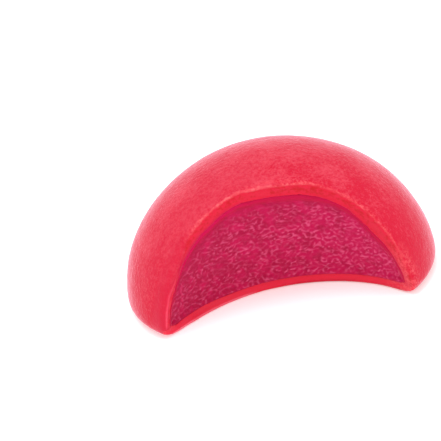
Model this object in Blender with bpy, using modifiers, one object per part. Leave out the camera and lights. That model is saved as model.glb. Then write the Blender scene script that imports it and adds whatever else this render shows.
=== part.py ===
"""Bitten mochi: a dome of rice dough wrapped round a fruit filling, with one bite out of its front.

Metres, +Z up. The bite faces -Y, and the origin is the middle of the foot of the object's box.
"""

import math

import bmesh
import bpy
from mathutils import Vector, noise

MM = 0.001

# The whole dome, before the bite
HALF_WIDTH = 24.0 * MM
OVAL = 0.95  # half depth from front to back, as a share of HALF_WIDTH
HEIGHT = 22.7 * MM
WIDEST_AT = 2.0 * MM  # the soft dough sags, so it is widest just above its foot
FOOT_RADIUS = 20.7 * MM
ROUNDNESS = 1.94  # 2 is an ellipse, and less is more pointed

# The dough skin's thickness, and the filling inside it
SKIN_SIDE = 2.2 * MM
SKIN_TOP = 2.4 * MM
SKIN_BASE = 1.4 * MM
FILLING_CORNER = 0.7 * MM  # the filling's lower edge is nearly square
CLEARANCE = 0.3 * MM  # between the filling and the dough

# The bite: a leaning round wall, whose top comes further forward than its foot
BITE_RADIUS = 21.5 * MM
BITE_SIDEWAYS = -0.6 * MM
BITE_WALL_Y = -1.7 * MM  # its deepest point, at the foot
BITE_LEAN = math.radians(20.2)
BITE_HALF_ANGLE = math.radians(76)
BITE_FORWARD = 40.0 * MM
BITE_MARGIN = 1.5 * MM  # above the top and below the foot
FILLING_SET_BACK = 0.3 * MM  # the filling's face, behind the dough's

# Softening of the dough's rims: a fine even mesh is smoothed, then thinned out where it is flat
SOFT_GRAIN = 0.24 * MM
SOFT_PASSES = 30
SOFT_TRIANGLES = 6800
FOOT_TRIM = 0.03 * MM  # shaved off, to leave the foot truly flat

# Hand-shaped unevenness: (lobes round the dome, share of the radius, phase)
DOME_LOBES = ((2, 0.0040, 0.9), (3, 0.0035, 2.3), (5, 0.0016, 4.1))
FILLING_LOBES = ((2, 0.0060, 2.6), (3, 0.0060, 0.4), (7, 0.0030, 1.3))

# Crumb of the filling's bitten face
CRUMB_SIZE = 1.7 * MM
CRUMB_HEIGHT = 0.30 * MM
CRUMB_GRID = 0.55 * MM
WALL_GRID = 1.2 * MM

# Fineness of the turned shapes
DOME_STEPS = 84
DOME_ROWS = 17
FILLING_STEPS = 60
FILLING_ROWS = 12
CORNER_ROWS = 5

# Edges that turn more than this stay crisp when the surfaces are shaded
DOUGH_CRISP = math.radians(50)
FILLING_CRISP = math.radians(60)

DOUGH_RED = (0.85, 0.06, 0.10, 1.0)
FILLING_CRIMSON = (0.55, 0.03, 0.09, 1.0)


def clear_scene():
    for old in list(bpy.data.objects):
        bpy.data.objects.remove(old, do_unlink=True)


def new_collection(name):
    made = bpy.data.collections.new(name)
    bpy.context.scene.collection.children.link(made)
    return made


def new_material(name, colour, roughness):
    made = bpy.data.materials.new(name)
    made.use_nodes = True
    shader = made.node_tree.nodes["Principled BSDF"]
    shader.inputs["Base Color"].default_value = colour
    shader.inputs["Roughness"].default_value = roughness
    shader.inputs["Metallic"].default_value = 0.0
    made.diffuse_color = colour
    return made


def dome_profile(half_width, foot_radius, foot_z, widest_z, top_z, rows):
    """Points (radius, z) down the dome's outer side, from its top to the middle of its foot."""
    points = [(0.0, top_z)]
    for i in range(1, rows + 1):
        turn = math.pi / 2 * i / rows
        points.append(
            (
                half_width * math.sin(turn) ** (2 / ROUNDNESS),
                widest_z + (top_z - widest_z) * max(math.cos(turn), 0.0) ** (2 / ROUNDNESS),
            )
        )
    for i in range(1, CORNER_ROWS + 1):
        turn = math.pi / 2 * i / CORNER_ROWS
        points.append(
            (
                foot_radius + (half_width - foot_radius) * math.cos(turn),
                widest_z - (widest_z - foot_z) * math.sin(turn),
            )
        )
    points.append((0.0, foot_z))
    return points


def uneven_share(angle, height_share, lobes):
    """How far the hand-shaped dome swells or dips at this angle, fading towards its top."""
    swell = sum(share * math.sin(count * angle + phase) for count, share, phase in lobes)
    return 1 + swell * (1 - 0.6 * height_share)


def turned_dome(name, profile, steps, lobes, collection):
    """The profile turned about Z, squeezed to an oval and made a little uneven."""
    outline = bpy.data.meshes.new(name + "_profile")
    verts = [(radius, 0.0, z) for radius, z in profile]
    outline.from_pydata(verts, [(i, i + 1) for i in range(len(verts) - 1)], [])
    turned = bpy.data.objects.new(name + "_turned", outline)
    collection.objects.link(turned)
    screw = turned.modifiers.new("Turn", "SCREW")
    screw.axis = "Z"
    screw.steps = screw.render_steps = steps
    screw.use_merge_vertices = True
    screw.merge_threshold = 0.01 * MM
    bpy.context.view_layer.update()
    graph = bpy.context.evaluated_depsgraph_get()
    mesh = bpy.data.meshes.new_from_object(turned.evaluated_get(graph))
    bpy.data.objects.remove(turned, do_unlink=True)

    mesh.name = name
    for vertex in mesh.vertices:
        angle = math.atan2(vertex.co.y, vertex.co.x)
        swell = uneven_share(angle, vertex.co.z / HEIGHT, lobes)
        vertex.co.x *= swell
        vertex.co.y *= swell * OVAL
    dome = bpy.data.objects.new(name, mesh)
    collection.objects.link(dome)
    return dome


def crumb(point):
    """Height of the filling's crumb, from 0 to 1: worm-like ridges on soft lumps."""
    fine = Vector(point) / CRUMB_SIZE
    lumps = 0.5 + 0.5 * noise.noise(fine * 0.6 + Vector((7.3, 1.9, 4.2)))
    ridge = 1 - min(abs(noise.noise(fine)) * 3.2, 1.0)
    return 0.45 * lumps + 0.55 * ridge


def smooth_wall(place):
    """The dough is bitten clean, so its wall is shifted nowhere."""
    return 0.0


def crumbled_wall(place):
    """Shift of the filling's bitten wall at this place: set back, with its crumb standing out."""
    return FILLING_SET_BACK - CRUMB_HEIGHT * crumb(place)


def bite_tool(name, grid, shift, collection):
    """A closed cutter: the bite's round wall, shifted place by place and carried forward."""
    arc = 2 * BITE_HALF_ANGLE * BITE_RADIUS
    rise = HEIGHT + 2 * BITE_MARGIN
    shape = bmesh.new()
    bmesh.ops.create_grid(
        shape, x_segments=round(arc / grid), y_segments=round(rise / grid), size=0.5
    )
    for vertex in shape.verts:
        angle = 2 * BITE_HALF_ANGLE * vertex.co.x
        z = rise * (vertex.co.y + 0.5) - BITE_MARGIN
        across = Vector((math.sin(angle), math.cos(angle), 0))
        foot = Vector((BITE_SIDEWAYS, BITE_WALL_Y - BITE_RADIUS, 0)) + across * BITE_RADIUS
        leaning = Vector((0, -math.tan(BITE_LEAN) * z, z))
        place = foot + leaning
        vertex.co = place + across * shift(place)
    front = bmesh.ops.extrude_face_region(shape, geom=shape.faces[:], use_keep_orig=True)
    moved = [item for item in front["geom"] if isinstance(item, bmesh.types.BMVert)]
    for vertex in moved:
        vertex.co.y = BITE_WALL_Y - BITE_FORWARD
    bmesh.ops.recalc_face_normals(shape, faces=shape.faces[:])
    mesh = bpy.data.meshes.new(name)
    shape.to_mesh(mesh)
    shape.free()
    tool = bpy.data.objects.new(name, mesh)
    tool.hide_render = True
    tool.display_type = "WIRE"
    collection.objects.link(tool)
    return tool


def cut(target, tool):
    trim = target.modifiers.new("Cut_" + tool.name, "BOOLEAN")
    trim.operation = "DIFFERENCE"
    trim.solver = "EXACT"
    trim.object = tool


def apply_modifiers(obj):
    bpy.context.view_layer.update()
    graph = bpy.context.evaluated_depsgraph_get()
    finished = bpy.data.meshes.new_from_object(obj.evaluated_get(graph))
    finished.name = obj.name
    obj.modifiers.clear()
    obj.data = finished


def soften(obj):
    """Rounds every rim of the dough, and keeps its foot flat."""
    even = obj.modifiers.new("Even", "REMESH")
    even.mode = "VOXEL"
    even.voxel_size = SOFT_GRAIN
    smooth = obj.modifiers.new("Soft", "SMOOTH")
    smooth.factor = 0.5
    smooth.iterations = SOFT_PASSES
    apply_modifiers(obj)

    thin = obj.modifiers.new("Thin", "DECIMATE")
    thin.ratio = SOFT_TRIANGLES / (2 * len(obj.data.polygons))
    apply_modifiers(obj)

    shape = bmesh.new()
    shape.from_mesh(obj.data)
    low = min(vertex.co.z for vertex in shape.verts)
    bmesh.ops.bisect_plane(
        shape,
        geom=shape.verts[:] + shape.edges[:] + shape.faces[:],
        dist=0.001 * MM,
        plane_co=(0, 0, low + FOOT_TRIM),
        plane_no=(0, 0, -1),
        clear_outer=True,
    )
    bmesh.ops.holes_fill(shape, edges=shape.edges[:], sides=0)
    shape.to_mesh(obj.data)
    shape.free()


def shade_round(obj, crisp_angle):
    obj.data.shade_smooth()
    obj.data.set_sharp_from_angle(angle=crisp_angle)


def make_dough(parts, cutters):
    """The rice dough: the whole dome, hollowed for the filling and bitten open."""
    outer = dome_profile(HALF_WIDTH, FOOT_RADIUS, 0.0, WIDEST_AT, HEIGHT, DOME_ROWS)
    dough = turned_dome("dough_skin", outer, DOME_STEPS, DOME_LOBES, parts)
    hollow = turned_dome("hollow", filling_profile(0.0), FILLING_STEPS, FILLING_LOBES, cutters)
    hollow.hide_render = True
    hollow.display_type = "WIRE"
    cut(dough, hollow)
    cut(dough, bite_tool("bite_of_dough", WALL_GRID, smooth_wall, cutters))
    apply_modifiers(dough)
    soften(dough)
    dough.data.materials.append(new_material("rice_dough", DOUGH_RED, 0.6))
    shade_round(dough, DOUGH_CRISP)
    return dough


def filling_profile(inset):
    """The filling's outline, drawn in by inset all round."""
    half_width = HALF_WIDTH - SKIN_SIDE - inset
    foot_z = SKIN_BASE + inset
    return dome_profile(
        half_width,
        half_width - FILLING_CORNER,
        foot_z,
        foot_z + FILLING_CORNER,
        HEIGHT - SKIN_TOP - inset,
        FILLING_ROWS,
    )


def make_filling(parts, cutters):
    """The fruit filling, which runs through the mochi and shows its crumb at the bite."""
    filling = turned_dome(
        "fruit_filling", filling_profile(CLEARANCE), FILLING_STEPS, FILLING_LOBES, parts
    )
    cut(filling, bite_tool("bite_of_filling", CRUMB_GRID, crumbled_wall, cutters))
    apply_modifiers(filling)
    filling.data.materials.append(new_material("fruit_paste", FILLING_CRIMSON, 0.45))
    shade_round(filling, FILLING_CRISP)
    return filling


def stand_on_origin(objects):
    """Moves the meshes so that the middle of their box's foot is the origin."""
    corners = [vertex.co for obj in objects for vertex in obj.data.vertices]
    low = Vector([min(corner[axis] for corner in corners) for axis in range(3)])
    high = Vector([max(corner[axis] for corner in corners) for axis in range(3)])
    foot = Vector(((low.x + high.x) / 2, (low.y + high.y) / 2, low.z))
    for obj in objects:
        for vertex in obj.data.vertices:
            vertex.co -= foot


def main():
    clear_scene()
    parts = new_collection("bitten_mochi")
    cutters = new_collection("cutters")
    dough = make_dough(parts, cutters)
    filling = make_filling(parts, cutters)
    stand_on_origin([dough, filling])


main()
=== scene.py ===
import math

import bmesh
import bpy
import numpy as np
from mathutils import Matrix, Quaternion, Vector, noise
from mathutils.bvhtree import BVHTree


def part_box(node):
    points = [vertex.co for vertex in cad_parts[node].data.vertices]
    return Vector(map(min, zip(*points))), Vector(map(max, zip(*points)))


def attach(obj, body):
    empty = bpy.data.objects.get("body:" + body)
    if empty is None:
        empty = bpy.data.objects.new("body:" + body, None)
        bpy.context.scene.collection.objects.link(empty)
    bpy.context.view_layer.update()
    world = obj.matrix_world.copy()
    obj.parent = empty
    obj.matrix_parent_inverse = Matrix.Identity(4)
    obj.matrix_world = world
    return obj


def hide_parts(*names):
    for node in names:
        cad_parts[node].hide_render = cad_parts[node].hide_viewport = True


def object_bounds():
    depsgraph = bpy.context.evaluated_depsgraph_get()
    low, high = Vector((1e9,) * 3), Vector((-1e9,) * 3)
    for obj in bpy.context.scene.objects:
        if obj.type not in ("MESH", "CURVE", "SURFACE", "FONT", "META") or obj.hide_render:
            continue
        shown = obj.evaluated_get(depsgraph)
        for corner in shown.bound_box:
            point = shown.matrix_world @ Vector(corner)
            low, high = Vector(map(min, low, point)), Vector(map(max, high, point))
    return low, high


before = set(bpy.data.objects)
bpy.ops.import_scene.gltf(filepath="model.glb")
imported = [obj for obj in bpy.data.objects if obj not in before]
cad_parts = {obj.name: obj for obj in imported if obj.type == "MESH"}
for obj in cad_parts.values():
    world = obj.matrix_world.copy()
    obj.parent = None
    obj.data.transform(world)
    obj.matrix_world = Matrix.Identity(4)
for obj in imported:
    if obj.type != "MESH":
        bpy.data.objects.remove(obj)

mm = 0.001
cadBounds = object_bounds()
print("frame loaded")

# The bite as the solids have it: round from above and leaning, with its top further forward than its foot
bite = {
    "radius": 21.5 * mm,
    "sideways": -0.6 * mm,
    "deepest": -1.7 * mm,         # at the foot, measured from the dome's own axis
    "lean": math.radians(20.2),
    "halfAngle": math.radians(76),
}
crumbDepth = 0.40 * mm            # the solid filling's bitten face lies nearer to the wall than this
# How far the filling's uneven edge lies outside its solid's, or inside it where negative, above and at the
# foot: places from left to right, and the distance at each, all in mm
fillingEdge = {
    "above": ((-19.0, -17.8, -16.6, -15.3, -13.3, -12.0, -10.1, -8.7, -7.0, -4.7, -3.2, -1.6, 1.4, 3.0,
               6.0, 8.6, 11.3, 12.2, 13.1, 14.0, 15.0, 16.1, 16.9, 17.6),
              (1.45, 1.25, 0.58, 0.62, 0.58, 0.55, 0.20, 0.35, 0.52, 0.33, -0.12, -0.28, -0.45, -0.35,
               0.05, 0.32, 0.33, 0.10, -0.35, -0.52, -0.15, 0.25, 0.55, 0.90)),
    "foot": ((-19.0, -17.0, -11.0, -5.0, 0.0, 10.0, 18.0), (0.30, 0.45, 0.35, 0.25, 0.05, 0.10, 0.15)),
}
domeBack = 22.72 * mm             # from the dome's own axis to its back
domeX = (cadBounds[0].x + cadBounds[1].x) / 2
domeY = cadBounds[1].y - domeBack


# Middle of the bite's circle at a height, or at an array of heights
def biteMiddle(z):
    forward = bite["deepest"] - bite["radius"] - math.tan(bite["lean"]) * z
    return domeX + bite["sideways"], domeY + forward


# Polar place of each point round the bite: its angle off the middle, and how far behind the wall it is
def biteAngles(points):
    middleX, middleY = biteMiddle(points[:, 2])
    across = points[:, 0] - middleX
    back = points[:, 1] - middleY
    return np.arctan2(across, back), np.hypot(across, back) - bite["radius"]


# Places at these angles and heights, and so far behind the bite's wall
def aroundBite(angles, z, behind):
    middleX, middleY = biteMiddle(z)
    reach = bite["radius"] + behind
    return np.stack([middleX + reach * np.sin(angles), middleY + reach * np.cos(angles), z], axis=1)


def vertexVectors(mesh, kind):
    values = np.zeros(len(mesh.vertices) * 3)
    mesh.vertices.foreach_get(kind, values)
    return values.reshape(-1, 3)


def moveVertices(mesh, points):
    mesh.vertices.foreach_set("co", points.astype(np.float32).ravel())
    mesh.update()


def writeField(mesh, name, values):
    field = mesh.attributes.new(name, "FLOAT", "POINT")
    field.data.foreach_set("value", np.asarray(values, np.float32))


# Smooth noise from about -1 to 1 at every point, with lumps of the given size
def lumps(points, size, seed):
    shift = Vector((7.3 * seed, 3.7 * seed, 5.1 * seed))
    return np.array([noise.noise(Vector(point) / size + shift) for point in points.tolist()])


def ramp(values, low, high):
    share = np.clip((values - low) / (high - low), 0, 1)
    return share * share * (3 - 2 * share)


def newPiece(name, mesh):
    piece = bpy.data.objects.new(name, mesh)
    bpy.context.scene.collection.objects.link(piece)
    return piece


# A copy of a solid's mesh, with the corners that the import split joined again
def solidCopy(node, name):
    shape = bmesh.new()
    shape.from_mesh(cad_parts[node].data)
    bmesh.ops.remove_doubles(shape, verts=shape.verts, dist=0.001 * mm)
    mesh = bpy.data.meshes.new(name)
    shape.to_mesh(mesh)
    shape.free()
    return newPiece(name, mesh)


def bakeModifiers(piece):
    bpy.context.view_layer.update()
    graph = bpy.context.evaluated_depsgraph_get()
    mesh = bpy.data.meshes.new_from_object(piece.evaluated_get(graph))
    mesh.name = piece.name
    piece.modifiers.clear()
    old = piece.data
    piece.data = mesh
    bpy.data.meshes.remove(old)


# Cuts a piece with a closed tool, or joins the two, and removes the tool
def combine(piece, tool, operation):
    step = piece.modifiers.new("Combine", "BOOLEAN")
    step.operation = operation
    step.solver = "MANIFOLD"
    step.object = tool
    bakeModifiers(piece)
    bpy.data.objects.remove(tool, do_unlink=True)


# The side of the filling's solid, without its bitten face
def fillingSideTree():
    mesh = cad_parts["fruit_filling"].data
    points = vertexVectors(mesh, "co")
    behind = biteAngles(points)[1]
    faces = [face.vertices[:] for face in mesh.polygons
             if max(behind[corner] for corner in face.vertices) > crumbDepth]
    return BVHTree.FromPolygons([Vector(point) for point in points.tolist()], faces)


# How far in mm each point is outside the side of the filling's solid, and which way that side faces
def besideSolid(points):
    outside = np.zeros(len(points))
    facing = np.zeros((len(points), 3))
    for index, point in enumerate(points.tolist()):
        spot, normal, face, distance = fillingSide.find_nearest(Vector(point))
        outside[index] = math.copysign(distance, (Vector(point) - spot).dot(normal)) / mm
        facing[index] = normal
    return outside, facing


# How far in mm the filling's uneven edge lies outside its solid's, which evens out behind the wall
def edgeOffset(points, facing):
    x = points[:, 0] / mm
    above = np.interp(x, *fillingEdge["above"])
    foot = np.interp(x, *fillingEdge["foot"])
    behind = biteAngles(points)[1]
    return (foot + (above - foot) * ramp(facing[:, 2], -0.7, 0.0)) * ramp(behind, 5 * mm, 1.0 * mm)


# The same distance, but from the uneven edge, and how much the side faces up
def besideFilling(points):
    outside, facing = besideSolid(points)
    return outside - edgeOffset(points, facing), facing[:, 2]


# The filling's solid with its sides grown outward, and its bitten face moved to a distance behind the wall
def grownFilling(name, swell, faceBehind):
    piece = solidCopy("fruit_filling", name)
    mesh = piece.data
    points = vertexVectors(mesh, "co")
    bitten = biteAngles(points)[1] < crumbDepth
    outward = np.zeros_like(points)
    for face in mesh.polygons:
        corners = list(face.vertices)
        if not bitten[corners].all():
            outward[corners] += face.area * np.array(face.normal)
    length = np.linalg.norm(outward, axis=1, keepdims=True)
    outside, facing = besideSolid(points)
    uneven = edgeOffset(points, facing) * np.exp(-np.abs(outside) / 2.0) * mm
    points += uneven[:, None] * facing + swell * outward / np.maximum(length, 1e-12)
    angles = biteAngles(points)[0]
    points[bitten] = aroundBite(angles, points[:, 2], faceBehind)[bitten]
    moveVertices(mesh, points)
    return piece


# Evens a value out over the mesh by averaging each vertex with its neighbours
def blurField(mesh, values, passes):
    ends = np.zeros(len(mesh.edges) * 2, int)
    mesh.edges.foreach_get("vertices", ends)
    first, second = ends.reshape(-1, 2).T
    total = len(mesh.vertices)
    links = np.maximum(np.bincount(first, minlength=total) + np.bincount(second, minlength=total), 1)
    for step in range(passes):
        near = np.bincount(first, values[second], total) + np.bincount(second, values[first], total)
        values = 0.5 * values + 0.5 * near / links
    return values


# Small helpers for the node trees
def newShader(name):
    material = bpy.data.materials.new(name)
    material.use_nodes = True
    tree = material.node_tree
    return material, tree, tree.nodes["Principled BSDF"]


def addNode(tree, kind, settings=None, inputs=None):
    node = tree.nodes.new(kind)
    for key, value in (settings or {}).items():
        setattr(node, key, value)
    for key, value in (inputs or {}).items():
        if isinstance(value, bpy.types.NodeSocket):
            tree.links.new(value, node.inputs[key])
        else:
            node.inputs[key].default_value = value
    return node


def readField(tree, name):
    return addNode(tree, "ShaderNodeAttribute", {"attribute_name": name}).outputs["Fac"]


def grainNoise(tree, place, size, detail=2.0, rough=0.55):
    node = addNode(tree, "ShaderNodeTexNoise", None,
                   {"Vector": place, "Scale": 1 / size, "Detail": detail, "Roughness": rough})
    return node.outputs["Fac"]


# Turns a value from low..high into start..end
def mapRange(tree, value, low, high, start=0.0, end=1.0, smooth=True):
    node = addNode(tree, "ShaderNodeMapRange", {"interpolation_type": "SMOOTHSTEP" if smooth else "LINEAR"},
                   {"Value": value, "From Min": low, "From Max": high, "To Min": start, "To Max": end})
    return node.outputs["Result"]


def calc(tree, operation, first, second):
    return addNode(tree, "ShaderNodeMath", {"operation": operation}, {0: first, 1: second}).outputs[0]


def multiplied(tree, first, *others):
    for value in others:
        first = calc(tree, "MULTIPLY", first, value)
    return first


# The sum of some values, each times its own share
def shares(tree, first, *others):
    total = calc(tree, "MULTIPLY", *first)
    for value, share in others:
        total = calc(tree, "ADD", total, calc(tree, "MULTIPLY", value, share))
    return total


def blendColour(tree, share, first, second):
    node = addNode(tree, "ShaderNodeMix", {"data_type": "RGBA"}, {"Factor": share, "A": first, "B": second})
    return node.outputs["Result"]


roomLight = 1.30                  # how bright a white thing stands in this room


# A colour as the screen shows it (0 to 255) to the shader's own, less the room's light and the gloss over it
def screenColour(red, green, blue, over=0.022):
    def linear(level):
        share = level / 255
        return share / 12.92 if share <= 0.04045 else ((share + 0.055) / 1.055) ** 2.4
    return tuple(max(linear(level) - over, 0.001) / roomLight for level in (red, green, blue)) + (1.0,)


doughLook = {
    "meshSize": 0.26 * mm,
    "softPasses": 9,
    "leftPasses": 70,                    # the left rim is worn much rounder
    "dimple": (0.10 * mm, 9 * mm),       # height and size of the hand-shaped dimples
    "ripple": (0.025 * mm, 2.2 * mm),    # and of the finer ones
    "lip": 0.05 * mm,                    # the rim stands up this much
    # how far the bitten wall's foot comes forward: places from left to right, and the distance, in mm
    "footFlare": ((-19.0, -17.5, -15.1, -12.1, -9.4, -6.6, -3.7, 0.0),
                  (0.50, 0.90, 1.25, 1.13, 0.98, 0.78, 0.50, 0.40)),
    # the light rim line, from left to right in mm: its distance from the filling in mm, and its strength
    "lineAt": ((-18.0, -15.0, -14.0, -13.0, -12.0, -9.0, -6.5, -3.5, 3.0, 9.0, 12.0, 14.0, 16.0, 17.5, 19.0),
               (0.30, 0.35, 1.30, 2.20, 2.45, 2.40, 1.95, 2.25, 2.45, 2.25, 2.40, 3.00, 2.70, 2.10, 1.90)),
    "lineShare": ((-18.5, -16.5, -15.3, -13.6, -12.5, -10.0, -4.0, 4.0,
                   8.0, 10.0, 12.0, 13.5, 14.8, 16.0, 17.3, 18.5),
                  (1.0, 0.9, 0.0, 0.15, 0.60, 0.9, 1.0, 0.80,
                   0.56, 0.42, 0.58, 0.78, 0.72, 0.48, 0.42, 0.25)),
    "dome": screenColour(229, 76, 94),
    "domeDeep": screenColour(215, 38, 65),
    "sheenAndShadeDome": screenColour(214, 55, 78),
    "bitten": screenColour(225, 48, 71),
    "bittenDeep": screenColour(205, 26, 52),
    "bittenInner": screenColour(229, 27, 67),
    "bittenFootLit": screenColour(237, 57, 79),
    "footShade": screenColour(200, 46, 66),
    "rimLine": screenColour(250, 112, 118),
    "edgeLine": screenColour(250, 90, 114),
    "footLine": screenColour(255, 136, 156),
    "magentaEdge": screenColour(210, 6, 76),
    "flour": (1.0, 0.68, 0.80, 1.0),
    "sheen": 0.95,
    "sheenRoughness": 0.285,
    "roughness": (0.80, 0.42),           # of the floury outside, and of the bitten wall
    "gloss": (0.20, 0.15),               # of the same two
    "cloudSize": 4.5 * mm,
    "mottleSize": 0.62 * mm,
    "gritSize": 0.26 * mm,
    "reliefDepth": 0.10 * mm,
    "footLineTop": (0.42 * mm, 0.66 * mm),
}


# Two finishes share the dough's colours: the floury outside, and the moist bitten wall without its sheen
def doughMaterial(name, floury):
    look = doughLook
    material, tree, shader = newShader(name)
    place = addNode(tree, "ShaderNodeTexCoord").outputs["Object"]
    parts = addNode(tree, "ShaderNodeSeparateXYZ", None, {"Vector": place})
    side, height = parts.outputs["X"], parts.outputs["Z"]

    # the floury outside: cloudy patches, fine mottles and finer grit, with a painted shade that makes it
    # deeper in colour low and to the right
    cloudy = grainNoise(tree, place, look["cloudSize"], 2.0)
    fine = grainNoise(tree, place, look["mottleSize"], 2.0, 0.6)
    grit = grainNoise(tree, place, look["gritSize"], 1.0, 0.5)
    mottleAndShade = shares(tree, (cloudy, 0.30), (fine, 0.40), (grit, 0.30))
    mottleAndShade = calc(tree, "ADD", mottleAndShade, mapRange(tree, height, 1 * mm, 17 * mm, -0.17, 0.02, smooth=False))
    mottleAndShade = calc(tree, "ADD", mottleAndShade, mapRange(tree, side, -2 * mm, 16 * mm, 0.0, -0.07))
    paleShare = mapRange(tree, mottleAndShade, 0.395, 0.60, smooth=False)
    dome = blendColour(tree, paleShare, look["domeDeep"], look["dome"])
    # a painted sheen on the worn left rim and a painted shade at the upper left
    dome = blendColour(tree, readField(tree, "sheenAndShadeDome"), dome, look["sheenAndShadeDome"])

    # the bitten wall, with a ragged outer edge
    rimField = readField(tree, "rim")
    ragged = calc(tree, "MULTIPLY", calc(tree, "SUBTRACT", fine, 0.5), 0.75)
    rim = calc(tree, "ADD", rimField, ragged)
    band = mapRange(tree, rim, 0.45, 0.80)
    torn = shares(tree, (cloudy, 0.3), (fine, 0.7))
    wall = blendColour(tree, mapRange(tree, torn, 0.36, 0.56), look["bittenDeep"], look["bitten"])
    wall = blendColour(tree, readField(tree, "inner"), wall, look["bittenInner"])
    # lighter towards the foot, a painted light where the table shades it, and a painted shade along the foot
    wall = blendColour(tree, mapRange(tree, height, 0.9 * mm, 2.5 * mm, 1.0, 0.0), wall, look["bittenFootLit"])
    wall = blendColour(tree, readField(tree, "footShade"), wall, look["footShade"])
    colour = blendColour(tree, band, dome, wall)

    # a light speckled line along the rim, flour on its lip and partly a painted highlight, and flour worn
    # onto its edge
    speckle = mapRange(tree, shares(tree, (fine, 0.6), (grit, 0.4)), 0.40, 0.60)
    patchy = mapRange(tree, grainNoise(tree, place, 1.3 * mm, 1.0), 0.36, 0.60, 0.35, 0.95)
    line = multiplied(tree, mapRange(tree, rim, 0.08, 0.34), mapRange(tree, rim, 0.50, 0.80, 1.0, 0.0),
                      mapRange(tree, rimField, 0.0, 0.08), patchy,
                      mapRange(tree, speckle, 0.0, 1.0, 0.45, 0.95), readField(tree, "lineShare"))
    worn = calc(tree, "MULTIPLY", readField(tree, "worn"), calc(tree, "MULTIPLY", speckle, 0.48))
    colour = blendColour(tree, calc(tree, "MAXIMUM", line, worn), colour, look["rimLine"])

    # a fine light line along the foot, a painted highlight speckled like flour, a painted highlight beside
    # the filling, and dark magenta on the wall's inner edge
    foot = multiplied(tree, mapRange(tree, height, *look["footLineTop"], 1.0, 0.0),
                      readField(tree, "footRim"), mapRange(tree, speckle, 0.0, 1.0, 0.7, 1.0))
    colour = blendColour(tree, foot, colour, look["footLine"])
    colour = blendColour(tree, readField(tree, "pinkEdge"), colour, look["edgeLine"])
    colour = blendColour(tree, readField(tree, "magentaEdge"), colour, look["magentaEdge"])
    tree.links.new(colour, shader.inputs["Base Color"])

    relief = calc(tree, "ADD", fine, calc(tree, "MULTIPLY", grit, 0.6))
    relief = calc(tree, "MULTIPLY", relief, mapRange(tree, band, 0.0, 1.0, 1.0, 0.25))
    bump = addNode(tree, "ShaderNodeBump", None,
                   {"Strength": 0.8, "Distance": look["reliefDepth"], "Height": relief})
    tree.links.new(bump.outputs["Normal"], shader.inputs["Normal"])
    tree.links.new(mapRange(tree, band, 0.0, 1.0, *look["roughness"]), shader.inputs["Roughness"])
    shader.inputs["Specular IOR Level"].default_value = look["gloss"][0 if floury else 1]
    shader.inputs["Subsurface Weight"].default_value = 0.20
    shader.inputs["Subsurface Radius"].default_value = (1.0, 0.25, 0.25)
    shader.inputs["Subsurface Scale"].default_value = 1.0 * mm
    if floury:
        shader.inputs["Sheen Weight"].default_value = look["sheen"]
        shader.inputs["Sheen Roughness"].default_value = look["sheenRoughness"]
        shader.inputs["Sheen Tint"].default_value = look["flour"]
    return material


# The dough: made whole with the filling's room, evened and softened, then hollowed with a crisp inner edge
def buildDough():
    look = doughLook
    piece = solidCopy("dough_skin", "riceDough")
    combine(piece, grownFilling("plug", 0.9 * mm, 0.0), "UNION")
    even = piece.modifiers.new("Even", "REMESH")
    even.mode = "VOXEL"
    even.voxel_size = look["meshSize"]
    soft = piece.modifiers.new("Soft", "SMOOTH")
    soft.factor = 0.5
    soft.iterations = look["softPasses"]
    bakeModifiers(piece)
    wearLeftRim(piece)
    shapeDough(piece.data)
    combine(piece, grownFilling("hollow", 0.0, -2 * mm), "DIFFERENCE")
    paintDough(piece.data)
    return piece


# How squarely each point near the bite's wall faces out of it, and how far behind the wall each point is
def wallFacing(points, normals):
    angles, behind = biteAngles(points)
    lean = bite["lean"]
    wall = np.stack([-np.sin(angles) * math.cos(lean), -np.cos(angles) * math.cos(lean),
                     np.full(len(points), -math.sin(lean))], axis=1)
    return np.clip((normals * wall).sum(axis=1), 0, 1) * ramp(behind, 2.5 * mm, 1.2 * mm), behind


# The left rim worn so round that the dome runs on to the filling's edge
def wearLeftRim(piece):
    mesh = piece.data
    points = vertexVectors(mesh, "co")
    behind = biteAngles(points)[1]
    share = ramp(points[:, 0], -11 * mm, -14.5 * mm) * ramp(behind, 4.0 * mm, 1.5 * mm)
    share *= ramp(points[:, 2], 0.6 * mm, 2.6 * mm)
    near = np.flatnonzero(share > 0.01)
    share[near] *= ramp(besideFilling(points[near])[0], 0.2, 0.8)
    group = piece.vertex_groups.new(name="leftRim")
    for index in near.tolist():
        group.add([index], share[index], "REPLACE")
    wear = piece.modifiers.new("Wear", "SMOOTH")
    wear.factor = 0.5
    wear.iterations = doughLook["leftPasses"]
    wear.vertex_group = group.name
    bakeModifiers(piece)
    piece.vertex_groups.clear()


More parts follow.
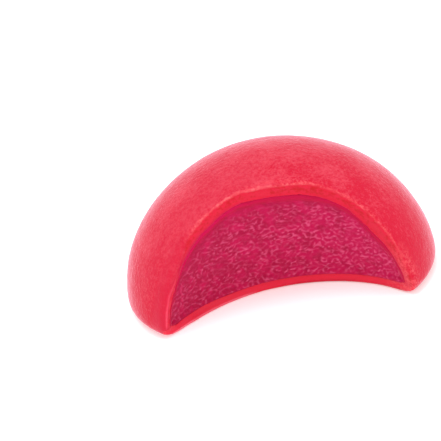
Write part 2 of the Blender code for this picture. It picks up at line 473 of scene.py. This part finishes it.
# Dimples, ripples, the raised lip and the wall's foot
def shapeDough(mesh):
    look = doughLook
    points = vertexVectors(mesh, "co")
    normals = vertexVectors(mesh, "normal")
    facing, behind = wallFacing(points, normals)
    raised = look["dimple"][0] * lumps(points, look["dimple"][1], 1.0)
    raised += look["ripple"][0] * lumps(points, look["ripple"][1], 2.0)
    lip = look["lip"] * np.exp(-(((facing - 0.35) / 0.18) ** 2)) * ramp(behind, 2.5 * mm, 1.2 * mm)
    raised += lip * ramp(points[:, 0], -14 * mm, -11 * mm)
    beside = besideFilling(points)[0]
    level = ramp(points[:, 2], 0.2 * mm, 2.5 * mm)       # the foot stays flat on the table
    level *= np.maximum(ramp(np.abs(beside), 0.3, 1.6),
                        ramp(behind, 0.8 * mm, 2.0 * mm))    # and the wall level with the filling's edge
    points += normals * (raised * level)[:, None]

    # the foot comes forward, but runs on smoothly into the dome at the left tip
    flare = np.interp(points[:, 0] / mm, *look["footFlare"]) * mm
    flare *= ramp(points[:, 2], 1.4 * mm, 0.1 * mm) * ramp(behind, 0.9 * mm, 0.4 * mm)
    tip = ramp(points[:, 0], -14.5 * mm, -17 * mm)
    flare = blurField(mesh, flare * (1 - tip * ramp(blurField(mesh, facing, 4), 0.6, 0.1)), 4)
    angles = biteAngles(points)[0]
    points[:, 0] -= np.sin(angles) * flare
    points[:, 1] -= np.cos(angles) * flare
    points[points[:, 2] < 0.05 * mm, 2] = 0.0
    moveVertices(mesh, np.clip(points, cadBounds[0], cadBounds[1]))


# The masks that the dough's material reads
def paintDough(mesh):
    look = doughLook
    points = vertexVectors(mesh, "co")
    facing, behind = wallFacing(points, vertexVectors(mesh, "normal"))
    beside, upward = besideFilling(points)
    x, y, z = points.T
    front = ramp(behind, 2.5 * mm, 1.2 * mm)
    under = ramp(upward, -0.2, -0.7)                     # below the filling
    lowLeft = ramp(x, -14.8 * mm, -16.0 * mm) * ramp(z, 10.5 * mm, 8.5 * mm)
    leftward = ramp(x, 0 * mm, -10 * mm)

    # the bitten wall reaches out to the light line along its rim, and down to its foot
    low = ramp(z, 2.0 * mm, 1.4 * mm) * front * ramp(facing, 0.02, 0.15)
    inner = ramp(beside, 0.8, 0.4) * front
    lineAt = np.interp(x / mm, *look["lineAt"])
    lineShare = np.interp(x / mm, *look["lineShare"])
    rim = np.maximum(blurField(mesh, facing, 5), np.maximum(inner, low))
    rim = np.minimum(rim, np.maximum(ramp(beside, lineAt + 0.6, lineAt - 0.5), low))
    writeField(mesh, "rim", rim)
    writeField(mesh, "inner", ramp(beside, 1.1, 0.3) * front * (1 - under))
    writeField(mesh, "lineShare", lineShare * (1 - low) * (1 - lowLeft))

    # flour speckled outside the line and over the right tip
    speckled = ramp(behind, 1.3 * mm, 0.2 * mm) * ramp(facing, 0.8, 0.3) * lineShare
    speckled *= ramp(x, -14 * mm, -12 * mm)
    rightTip = ramp(x, 14 * mm, 18 * mm) * ramp(z, 11 * mm, 5 * mm) * ramp(behind, 2.5 * mm, 1.0 * mm)
    writeField(mesh, "worn", np.maximum(rightTip, 0.6 * speckled * (1 - low)))

    # a painted highlight beside the filling at the lower left
    edgeLine = np.exp(-(((beside - 0.53) / 0.17) ** 2)) * front * lowLeft
    edgeLine *= 0.25 + 0.75 * ramp(z, 1.5 * mm, 2.6 * mm)
    edgeLine *= 1 - 0.35 * ramp(z, 4.5 * mm, 7.5 * mm)
    writeField(mesh, "pinkEdge", 0.85 * edgeLine)

    # painted light on the dome: a lighter pink standing in for sheen on the worn left rim, and a painted
    # shade at the upper left
    rimSheen = ramp(x, -12.5 * mm, -15 * mm) * ramp(behind, 3.5 * mm, 1.5 * mm)
    rimSheen *= 0.55 + 0.25 * ramp(z, 6 * mm, 2 * mm)
    upperLeftShade = ramp(x, 0.5 * mm, -3 * mm) * ramp(behind, 9 * mm, 5 * mm) * ramp(z, 6 * mm, 10 * mm)
    writeField(mesh, "sheenAndShadeDome", np.maximum(rimSheen, 0.28 * upperLeftShade))

    # a dark magenta where the dough meets the filling, strongest at the upper left
    magentaShare = (0.25 + 0.75 * leftward * ramp(z, 8.5 * mm, 11 * mm)) * (1 - 0.7 * lowLeft)
    edgeBand = ramp(beside, 0.70 + 0.25 * leftward, 0.20 + 0.10 * leftward)
    writeField(mesh, "magentaEdge", front * edgeBand * magentaShare * (1 - under))

    # the foot: its light line, a painted highlight, at the left, fainter round the outside, and a painted
    # shade at the right
    footRim = np.interp(x / mm, (-16.5, -14.5, -9.0, -6.5, -4.0), (1.0, 0.55, 0.55, 0.70, 0.0))
    footRim *= ramp(y, 0 * mm, -6 * mm)
    writeField(mesh, "footRim", np.maximum(footRim, 0.15 * (1 - front)))
    footShade = ramp(x, -3 * mm, 4 * mm) * (1 - 0.4 * ramp(x, 9 * mm, 12.5 * mm))
    footShade *= ramp(z, 1.0 * mm, 0.2 * mm)
    writeField(mesh, "footShade", 0.65 * footShade)

    mesh.materials.clear()
    mesh.materials.append(doughMaterial("flouryDough", True))
    mesh.materials.append(doughMaterial("bittenDough", False))
    hidden = (beside < 0.9) & (behind > -1 * mm)         # the hollow and its edge
    bare = (rim > 0.5) | hidden
    finishes = [int(bare[list(face.vertices)].mean() > 0.5) for face in mesh.polygons]
    mesh.polygons.foreach_set("material_index", finishes)
    mesh.shade_smooth()
    mesh.set_sharp_from_angle(angle=math.radians(50))


fillingLook = {
    "swell": 0.06 * mm,               # its sides reach just into the dough, so that no gap shows
    "setBack": 0.30 * mm,             # its bitten face, behind the dough's
    # its edge comes forward to meet the dough without a step: distance in from it, and how far, both in mm
    "edgeForward": ((-0.15, -0.06, 0.02, 0.25, 0.55, 1.1), (0.20, 0.26, 0.30, 0.37, 0.28, 0.0)),
    "meshSize": 0.125 * mm,
    "lump": (0.12 * mm, 2.6 * mm),    # height and size of its soft lumps
    "ridge": 0.13 * mm,               # height of its ridges
    # two sets of ridges cross: seed, spacing, how uneven it is, how closely they keep level, and height
    "ridgeSets": ((1, 0.84 * mm, 0.42, 0.30, 1.0), (4, 1.15 * mm, 0.50, 0.60, 0.85)),
    "wander": (0.20 * mm, 0.8 * mm),  # how far they are bent, and over what length
    "sheetCell": 0.08 * mm,
    "sheetSize": (820, 400),          # in cells, along the wall and up
    "flesh": screenColour(194, 28, 80, 0.010),
    "fleshDeep": screenColour(174, 24, 68, 0.010),
    "edge": screenColour(196, 20, 65, 0.010),
    "ridgePale": screenColour(231, 91, 134, 0.010),
    "magentaEdge": screenColour(203, 8, 81, 0.010),
    "cloudSize": 1.7 * mm,
    "grainSize": 0.38 * mm,
    "grainDepth": 0.06 * mm,
}


# Ridges of crumpled paste over the unrolled wall: waves of one spacing, turned and broken at random
def ridgeSheet(seed, spacing, spread, level, height):
    look = fillingLook
    columns, rows = look["sheetSize"]
    draw = np.random.default_rng(seed).standard_normal((2, rows, columns))
    waveX = np.fft.fftfreq(columns, look["sheetCell"])[None, :]
    waveY = np.fft.fftfreq(rows, look["sheetCell"])[:, None]
    wave = np.maximum(np.hypot(waveX, waveY), 1e-9)
    band = np.exp(-((wave * spacing - 1) / spread) ** 2 - level * (waveX / wave) ** 2)
    waves = np.fft.fft2(draw[0]) * band
    sheet = np.fft.ifft2(waves).real
    sideX = np.fft.ifft2(waves * 1j * waveX / wave).real
    sideY = np.fft.ifft2(waves * 1j * waveY / wave).real
    # every wave is brought to nearly one height, so that each crest makes a clear ridge
    crest = sheet / (np.sqrt(sheet ** 2 + sideX ** 2 + sideY ** 2) + 0.25 * sheet.std())
    patches = np.fft.ifft2(np.fft.fft2(draw[1]) * np.exp(-(wave * 2.2 * mm) ** 2)).real
    strength = 0.20 + 0.80 * ramp(patches / patches.std(), -1.6, 1.0)
    return height * ramp(crest, 0.32, 0.97) * strength


# Reads a sheet at places on the wall, evenly blended between its cells
def readSheet(sheet, along, up):
    rows, columns = sheet.shape
    x = along / fillingLook["sheetCell"]
    y = up / fillingLook["sheetCell"]
    left = np.floor(x).astype(int)
    below = np.floor(y).astype(int)
    value = 0
    for stepX, weightX in ((0, 1 - (x - left)), (1, x - left)):
        for stepY, weightY in ((0, 1 - (y - below)), (1, y - below)):
            value = value + weightX * weightY * sheet[(below + stepY) % rows, (left + stepX) % columns]
    return value


# The bitten face at each point: how far it stands out, how much it is a pale ridge, how far in mm it is in
# from the edge, and how much the filling's side there faces up
def fillingRelief(points, angles):
    look = fillingLook
    beside, upward = besideFilling(points)
    depth = -beside
    along = angles * bite["radius"]
    up = points[:, 2] / math.cos(bite["lean"])
    flat = np.stack([along, up, np.zeros(len(up))], axis=1)
    far, size = look["wander"]
    bentAlong = along + far * lumps(flat, size, 6.0)
    bentUp = up + far * lumps(flat, size, 7.0)
    crumple = readSheet(ridges, bentAlong, bentUp) * (0.85 + 0.6 * lumps(flat, 0.7 * mm, 8.0))
    # the ridges fade towards the edge, and further in under the top
    smoothTop = (1.7 + 0.6 * ramp(points[:, 0], 4 * mm, 0 * mm)) * ramp(upward, 0.2, 0.7)
    crumple = np.clip(crumple, 0, 1) * ramp(depth, 0.15 + 0.4 * smoothTop, 0.5 + smoothTop)
    raised = look["ridge"] * crumple
    raised += look["lump"][0] * lumps(flat, look["lump"][1], 3.0) * ramp(depth, 0.1, 0.8)
    raised += np.interp(depth, *look["edgeForward"]) * mm
    return raised, crumple, depth, upward


# A closed cutter whose back is the finely ridged wall
def wallCutter():
    look = fillingLook
    low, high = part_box("fruit_filling")
    bottom = low.z - 1.5 * mm
    rise = high.z - low.z + 3 * mm
    arc = 2 * bite["halfAngle"] * bite["radius"]
    shape = bmesh.new()
    bmesh.ops.create_grid(shape, x_segments=round(arc / look["meshSize"]),
                          y_segments=round(rise / look["meshSize"]), size=0.5)
    mesh = bpy.data.meshes.new("wallCutter")
    shape.to_mesh(mesh)
    points = vertexVectors(mesh, "co")
    angles = 2 * bite["halfAngle"] * points[:, 0]
    z = bottom + rise * (points[:, 1] + 0.5)
    raised = fillingRelief(aroundBite(angles, z, 0.0), angles)[0]
    places = aroundBite(angles, z, look["setBack"] - raised)
    for vertex, place in zip(shape.verts, places.tolist()):
        vertex.co = place
    rim = [edge for edge in shape.edges if edge.is_boundary]
    sides = bmesh.ops.extrude_edge_only(shape, edges=rim)["geom"]
    frontVertices = [item for item in sides if isinstance(item, bmesh.types.BMVert)]
    frontEdges = [item for item in sides if isinstance(item, bmesh.types.BMEdge) and item.is_boundary]
    for vertex in frontVertices:
        vertex.co.y = domeY - 60 * mm                    # well in front of the cake
    bmesh.ops.contextual_create(shape, geom=frontEdges)
    bmesh.ops.recalc_face_normals(shape, faces=shape.faces[:])
    shape.to_mesh(mesh)
    shape.free()
    return newPiece("wallCutter", mesh)


def fillingMaterial():
    look = fillingLook
    material, tree, shader = newShader("tornPaste")
    place = addNode(tree, "ShaderNodeTexCoord").outputs["Object"]
    side = addNode(tree, "ShaderNodeSeparateXYZ", None, {"Vector": place}).outputs["X"]

    # cloudy flesh with a fine grain, and a painted shade that makes it deeper in colour to the left
    cloudy = grainNoise(tree, place, look["cloudSize"], 3.0)
    cloudy = calc(tree, "ADD", cloudy, mapRange(tree, side, -17 * mm, 15 * mm, -0.11, 0.11, smooth=False))
    fine = grainNoise(tree, place, look["grainSize"], 3.0, 0.6)
    flesh = blendColour(tree, mapRange(tree, cloudy, 0.38, 0.62), look["fleshDeep"], look["flesh"])
    flesh = blendColour(tree, mapRange(tree, fine, 0.45, 0.75, 0.0, 0.18), flesh, look["ridgePale"])
    flesh = blendColour(tree, readField(tree, "edge"), flesh, look["edge"])

    # its pale ridges, partly the paste's own paler crumbs and partly a painted highlight, fainter to the
    # left, and a dark magenta round its edge
    paleness = mapRange(tree, side, -14 * mm, 12 * mm, 0.72, 1.10)
    crumple = calc(tree, "MULTIPLY", readField(tree, "crumple"), paleness)
    colour = blendColour(tree, crumple, flesh, look["ridgePale"])
    colour = blendColour(tree, readField(tree, "magentaEdge"), colour, look["magentaEdge"])
    tree.links.new(colour, shader.inputs["Base Color"])

    bump = addNode(tree, "ShaderNodeBump", None,
                   {"Strength": 0.4, "Distance": look["grainDepth"], "Height": fine})
    tree.links.new(bump.outputs["Normal"], shader.inputs["Normal"])
    tree.links.new(mapRange(tree, fine, 0.3, 0.7, 0.48, 0.65), shader.inputs["Roughness"])
    shader.inputs["Specular IOR Level"].default_value = 0.09
    shader.inputs["Subsurface Weight"].default_value = 0.12
    shader.inputs["Subsurface Radius"].default_value = (1.0, 0.25, 0.35)
    shader.inputs["Subsurface Scale"].default_value = 0.4 * mm
    return material


# The filling: the solid grown just into the dough, with its bitten face cut again by the finely ridged wall
def buildFilling():
    look = fillingLook
    piece = grownFilling("fruitFilling", look["swell"], -0.5 * mm)
    combine(piece, wallCutter(), "DIFFERENCE")
    mesh = piece.data
    points = vertexVectors(mesh, "co")
    crumple, depth, upward = fillingRelief(points, biteAngles(points)[0])[1:]
    x, z = points[:, 0], points[:, 2]
    under = ramp(upward, -0.2, -0.7)                     # along its foot
    faint = 0.3 * ramp(x, 8 * mm, 0 * mm) * ramp(z, 12 * mm, 16 * mm)
    writeField(mesh, "crumple", crumple * (1 - faint))
    writeField(mesh, "edge", ramp(depth, 1.6, 0.3) * 0.8 * (1 - 0.85 * under))
    magentaShare = 0.15 + 0.85 * ramp(x, 0 * mm, -10 * mm) * ramp(z, 8.5 * mm, 11 * mm)
    writeField(mesh, "magentaEdge", ramp(depth, 0.80, 0.15) * magentaShare * (1 - under))
    mesh.materials.clear()
    mesh.materials.append(fillingMaterial())
    mesh.shade_smooth()
    mesh.set_sharp_from_angle(angle=math.radians(70))
    return piece


fillingSide = fillingSideTree()
ridges = np.max([ridgeSheet(*ridgeSet) for ridgeSet in fillingLook["ridgeSets"]], axis=0)
doughPiece = buildDough()
print("dough built:", len(doughPiece.data.polygons), "faces")
fillingPiece = buildFilling()
print("filling built:", len(fillingPiece.data.polygons), "faces")

for piece, node, slotName in ((doughPiece, "dough_skin", "rice_dough"),
                              (fillingPiece, "fruit_filling", "fruit_paste")):
    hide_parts(node)
    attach(piece, "root")


room = {
    "floorSize": 3.0,
    "floor": (0.90, 0.90, 0.90, 1.0),
    "floorGlow": 0.32,            # like a light table, so that its shadows stay pale
    "sky": (1.0, 1.0, 1.0, 1.0),
    "skyStrength": 1.0,
    "lamps": [
        # name, place and size in metres, watts
        ("topLamp", (-0.08, -0.10, 0.60), 0.50, 1.6),
        ("frontLamp", (-0.06, -0.62, 0.26), 0.40, 0.82),
        ("sideLamp", (0.50, -0.22, 0.28), 0.40, 0.55),
        ("leftLamp", (-0.45, 0.28, 0.30), 0.40, 0.35),
    ],
}


def buildRoom():
    shape = bmesh.new()
    bmesh.ops.create_grid(shape, x_segments=1, y_segments=1, size=room["floorSize"] / 2)
    mesh = bpy.data.meshes.new("floor")
    shape.to_mesh(mesh)
    shape.free()
    floor = newPiece("floor", mesh)
    material, tree, shader = newShader("paleFloor")
    shader.inputs["Base Color"].default_value = room["floor"]
    shader.inputs["Roughness"].default_value = 0.9
    shader.inputs["Specular IOR Level"].default_value = 0.0
    shader.inputs["Emission Color"].default_value = room["floor"]
    shader.inputs["Emission Strength"].default_value = room["floorGlow"]
    mesh.materials.append(material)

    world = bpy.data.worlds.new("studio")
    world.use_nodes = True
    background = world.node_tree.nodes["Background"]
    background.inputs["Color"].default_value = room["sky"]
    background.inputs["Strength"].default_value = room["skyStrength"]
    bpy.context.scene.world = world

    for name, place, size, watts in room["lamps"]:
        lamp = bpy.data.lights.new(name, "AREA")
        lamp.shape = "DISK"
        lamp.size = size
        lamp.energy = watts
        holder = bpy.data.objects.new(name, lamp)
        bpy.context.scene.collection.objects.link(holder)
        holder.location = place
        holder.rotation_mode = "QUATERNION"
        holder.rotation_quaternion = (Vector((0, 0, 0.01)) - Vector(place)).to_track_quat("-Z", "Y")
    settings = bpy.context.scene.view_settings
    settings.view_transform = "Standard"
    settings.look = "None"


# The cake stands turned in the photo's frame and off its middle, so the camera is rolled and aims beside it
lens = {
    "azimuth": math.radians(-2.53),
    "elevation": math.radians(24.5),
    "roll": math.radians(-9.77),
    "distance": 432 * mm,
    "aimHeight": 8.4 * mm,
    "focal": 229.4,                       # in mm, for a sensor that is 36 mm wide
    "aside": (-8.33 * mm, 1.94 * mm),
}


def buildCamera():
    data = bpy.data.cameras.new("camera")
    data.lens = lens["focal"]
    data.sensor_width = 36.0
    data.clip_start = 0.01
    data.clip_end = 20.0
    camera = bpy.data.objects.new("camera", data)
    bpy.context.scene.collection.objects.link(camera)
    azimuth, elevation = lens["azimuth"], lens["elevation"]
    back = Vector((math.sin(azimuth) * math.cos(elevation), -math.cos(azimuth) * math.cos(elevation),
                   math.sin(elevation)))
    middle = Vector((domeX, domeY, lens["aimHeight"]))
    level = (-back).to_track_quat("-Z", "Y") @ Quaternion((0, 0, 1), lens["roll"])
    aim = middle + level @ Vector((lens["aside"][0], lens["aside"][1], 0))
    camera.location = middle + back * lens["distance"]
    ahead = (aim - camera.location).normalized()
    turn = (level @ Vector((0, 0, -1))).rotation_difference(ahead)
    camera.rotation_mode = "QUATERNION"
    camera.rotation_quaternion = turn @ level
    bpy.context.scene.camera = camera


buildRoom()
buildCamera()
print("room and camera ready")
